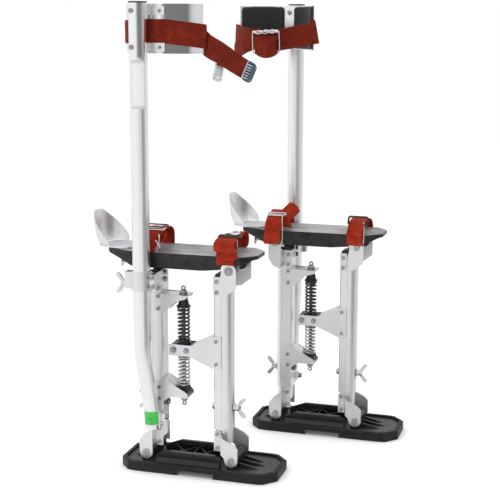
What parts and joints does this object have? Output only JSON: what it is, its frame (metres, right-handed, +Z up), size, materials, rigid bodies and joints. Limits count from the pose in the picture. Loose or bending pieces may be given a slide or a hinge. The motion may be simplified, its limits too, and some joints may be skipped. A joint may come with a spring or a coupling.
{
  "type": "drywall stilts",
  "caption": "Pair of sprung, height-adjustable work stilts: soles, parallelogram legs on springs, strapped footplates with heel cups, and leg tubes with calf cuffs.",
  "frame": {"origin": "on the floor, under the middle of the pair's bounding box", "axes": "+Z up, +X towards the toes, +Y to the wearer's left; the right stilt is at -Y"},
  "size_m": [0.5888, 0.5092, 0.9436],
  "materials": {
    "sole_rubber": "moulded matt rubber",
    "cast_black": "black powder coat on cast metal",
    "aluminium": "bright satin anodised",
    "cup_aluminium": "polished sheet",
    "zinc_steel": "zinc plated",
    "spring_black": "black oxide wire",
    "spring_bright": "bright zinc wire",
    "block_black": "black block with steel bolts",
    "deck_black": "semi-gloss black powder coat",
    "webbing_brick": "woven webbing",
    "webbing_brown": "woven webbing",
    "buckle_steel": "plated steel wire",
    "pad_black": "closed-cell foam sheet"
  },
  "bodies": {
    "right_base": {"right_sole": "sole_rubber", "right_floor_plate": "cast_black"},
    "right_heel_leg": {"right_heel_extension": "aluminium", "right_heel_ankle_plates": "aluminium"},
    "right_heel_strut_body": {"right_heel_strut": "aluminium", "right_heel_pivot_plates": "aluminium", "right_spring_brackets": "aluminium", "right_spring_rod": "zinc_steel", "right_upper_spring": "spring_black", "right_lower_spring": "spring_bright", "right_lower_leg_tube": "aluminium", "right_tube_clamp": "aluminium"},
    "right_toe_leg": {"right_toe_extension": "aluminium", "right_toe_ankle_plates": "aluminium"},
    "right_toe_strut_body": {"right_toe_strut": "aluminium", "right_toe_pivot_plates": "aluminium", "right_spring_yoke": "aluminium"},
    "right_spring_block": {"right_pivot_block": "block_black"},
    "right_foot_deck": {"right_footplate": "deck_black", "right_foot_straps": "webbing_brick", "right_foot_buckles": "buckle_steel"},
    "right_heel_cup_body": {"right_heel_cup": "cup_aluminium"},
    "right_cup_nut": {"right_heel_cup_wing_nut": "zinc_steel"},
    "right_leg_tube": {"right_upper_leg_tube": "aluminium"},
    "right_calf_cuff": {"right_calf_band": "cup_aluminium", "right_calf_pad": "pad_black", "right_calf_strap": "webbing_brown"},
    "right_heel_lock": {"right_heel_wing_bolt": "zinc_steel"},
    "right_toe_lock": {"right_toe_wing_bolt": "zinc_steel"},
    "right_clamp_lock": {"right_clamp_wing_bolt": "zinc_steel"},
    "left_base": {"left_sole": "sole_rubber", "left_floor_plate": "cast_black"},
    "left_heel_leg": {"left_heel_extension": "aluminium", "left_heel_ankle_plates": "aluminium"},
    "left_heel_strut_body": {"left_heel_strut": "aluminium", "left_heel_pivot_plates": "aluminium", "left_spring_brackets": "aluminium", "left_spring_rod": "zinc_steel", "left_upper_spring": "spring_black", "left_lower_spring": "spring_bright", "left_lower_leg_tube": "aluminium", "left_tube_clamp": "aluminium"},
    "left_toe_leg": {"left_toe_extension": "aluminium", "left_toe_ankle_plates": "aluminium"},
    "left_toe_strut_body": {"left_toe_strut": "aluminium", "left_toe_pivot_plates": "aluminium", "left_spring_yoke": "aluminium"},
    "left_spring_block": {"left_pivot_block": "block_black"},
    "left_foot_deck": {"left_footplate": "deck_black", "left_foot_straps": "webbing_brick", "left_foot_buckles": "buckle_steel"},
    "left_heel_cup_body": {"left_heel_cup": "cup_aluminium"},
    "left_cup_nut": {"left_heel_cup_wing_nut": "zinc_steel"},
    "left_leg_tube": {"left_upper_leg_tube": "aluminium"},
    "left_calf_cuff": {"left_calf_band": "cup_aluminium", "left_calf_pad": "pad_black", "left_calf_strap": "webbing_brown"},
    "left_heel_lock": {"left_heel_wing_bolt": "zinc_steel"},
    "left_toe_lock": {"left_toe_wing_bolt": "zinc_steel"},
    "left_clamp_lock": {"left_clamp_wing_bolt": "zinc_steel"}
  },
  "joints": [
    {"name": "right_ankle_sway", "type": "hinge", "parent": "right_base", "child": "right_heel_leg", "pos_m": [-0.1735, -0.157, 0.0336], "axis": [0, 1, 0], "range_deg": [-8, 8]},
    {"name": "right_toe_leg_sway", "type": "hinge", "parent": "right_base", "child": "right_toe_leg", "pos_m": [0.0095, -0.157, 0.0336], "axis": [0, 1, 0], "range_deg": [-8.1, 8.1]},
    {"name": "right_height", "type": "slide", "parent": "right_heel_leg", "child": "right_heel_strut_body", "axis": [0, 0, 1], "range_m": [0, 0.254]},
    {"name": "right_toe_height", "type": "slide", "parent": "right_toe_leg", "child": "right_toe_strut_body", "axis": [0, 0, 1], "range_m": [0, 0.2545]},
    {"name": "right_foot_level", "type": "hinge", "parent": "right_heel_strut_body", "child": "right_foot_deck", "pos_m": [-0.1735, -0.157, 0.428], "axis": [0, 1, 0], "range_deg": [-8.1, 8.1]},
    {"name": "right_spring_travel", "type": "slide", "parent": "right_heel_strut_body", "child": "right_spring_block", "axis": [0, 0, 1], "range_m": [-0.0258, 0.0258], "deforming": ["right_upper_spring", "right_lower_spring"]},
    {"name": "right_cup_slide", "type": "slide", "parent": "right_foot_deck", "child": "right_heel_cup_body", "axis": [1, 0, 0], "range_m": [-0.012, 0.02]},
    {"name": "right_cup_nut_turn", "type": "hinge", "parent": "right_heel_cup_body", "child": "right_cup_nut", "pos_m": [-0.2285, -0.157, 0.438], "axis": [0, 0, 1], "continuous": true},
    {"name": "right_calf_height", "type": "slide", "parent": "right_heel_strut_body", "child": "right_leg_tube", "axis": [0, 0, 1], "range_m": [0, 0.09]},
    {"name": "right_cuff_swivel", "type": "hinge", "parent": "right_leg_tube", "child": "right_calf_cuff", "pos_m": [-0.163, -0.234, 0.892], "axis": [0, 0, 1], "range_deg": [-15, 50]},
    {"name": "right_heel_lock_turn", "type": "hinge", "parent": "right_heel_strut_body", "child": "right_heel_lock", "pos_m": [-0.1795, -0.157, 0.134], "axis": [1, 0, 0], "continuous": true},
    {"name": "right_toe_lock_turn", "type": "hinge", "parent": "right_toe_strut_body", "child": "right_toe_lock", "pos_m": [0.0035, -0.157, 0.134], "axis": [1, 0, 0], "continuous": true},
    {"name": "right_clamp_lock_turn", "type": "hinge", "parent": "right_heel_strut_body", "child": "right_clamp_lock", "pos_m": [-0.1935, -0.228, 0.395], "axis": [1, 0, 0], "continuous": true},
    {"name": "left_stilt_lift", "type": "slide", "parent": "right_base", "child": "left_base", "axis": [0, 0, 1], "range_m": [0, 0.2]},
    {"name": "left_ankle_sway", "type": "hinge", "parent": "left_base", "child": "left_heel_leg", "pos_m": [0.0145, 0.157, 0.0336], "axis": [0, 1, 0], "range_deg": [-8, 8]},
    {"name": "left_toe_leg_sway", "type": "hinge", "parent": "left_base", "child": "left_toe_leg", "pos_m": [0.1975, 0.157, 0.0336], "axis": [0, 1, 0], "range_deg": [-8.1, 8.1]},
    {"name": "left_height", "type": "slide", "parent": "left_heel_leg", "child": "left_heel_strut_body", "axis": [0, 0, 1], "range_m": [0, 0.254]},
    {"name": "left_toe_height", "type": "slide", "parent": "left_toe_leg", "child": "left_toe_strut_body", "axis": [0, 0, 1], "range_m": [0, 0.2545]},
    {"name": "left_foot_level", "type": "hinge", "parent": "left_heel_strut_body", "child": "left_foot_deck", "pos_m": [0.0145, 0.157, 0.428], "axis": [0, 1, 0], "range_deg": [-8.1, 8.1]},
    {"name": "left_spring_travel", "type": "slide", "parent": "left_heel_strut_body", "child": "left_spring_block", "axis": [0, 0, 1], "range_m": [-0.0258, 0.0258], "deforming": ["left_upper_spring", "left_lower_spring"]},
    {"name": "left_cup_slide", "type": "slide", "parent": "left_foot_deck", "child": "left_heel_cup_body", "axis": [1, 0, 0], "range_m": [-0.012, 0.02]},
    {"name": "left_cup_nut_turn", "type": "hinge", "parent": "left_heel_cup_body", "child": "left_cup_nut", "pos_m": [-0.0405, 0.157, 0.438], "axis": [0, 0, 1], "continuous": true},
    {"name": "left_calf_height", "type": "slide", "parent": "left_heel_strut_body", "child": "left_leg_tube", "axis": [0, 0, 1], "range_m": [0, 0.09]},
    {"name": "left_cuff_swivel", "type": "hinge", "parent": "left_leg_tube", "child": "left_calf_cuff", "pos_m": [0.025, 0.234, 0.892], "axis": [0, 0, 1], "range_deg": [-15, 50]},
    {"name": "left_heel_lock_turn", "type": "hinge", "parent": "left_heel_strut_body", "child": "left_heel_lock", "pos_m": [0.0085, 0.157, 0.134], "axis": [1, 0, 0], "continuous": true},
    {"name": "left_toe_lock_turn", "type": "hinge", "parent": "left_toe_strut_body", "child": "left_toe_lock", "pos_m": [0.1915, 0.157, 0.134], "axis": [1, 0, 0], "continuous": true},
    {"name": "left_clamp_lock_turn", "type": "hinge", "parent": "left_heel_strut_body", "child": "left_clamp_lock", "pos_m": [-0.0055, 0.228, 0.395], "axis": [1, 0, 0], "continuous": true}
  ],
  "couplings": [
    {"joint": "right_toe_leg_sway", "follows": "right_ankle_sway", "ratio": 1},
    {"joint": "right_foot_level", "follows": "right_ankle_sway", "ratio": -1},
    {"joint": "right_spring_travel", "follows": "right_ankle_sway", "m_per_rad": 0.183},
    {"joint": "right_toe_height", "follows": "right_height", "ratio": 1},
    {"joint": "left_toe_leg_sway", "follows": "left_ankle_sway", "ratio": 1},
    {"joint": "left_foot_level", "follows": "left_ankle_sway", "ratio": -1},
    {"joint": "left_spring_travel", "follows": "left_ankle_sway", "m_per_rad": 0.183},
    {"joint": "left_toe_height", "follows": "left_height", "ratio": 1}
  ]
}
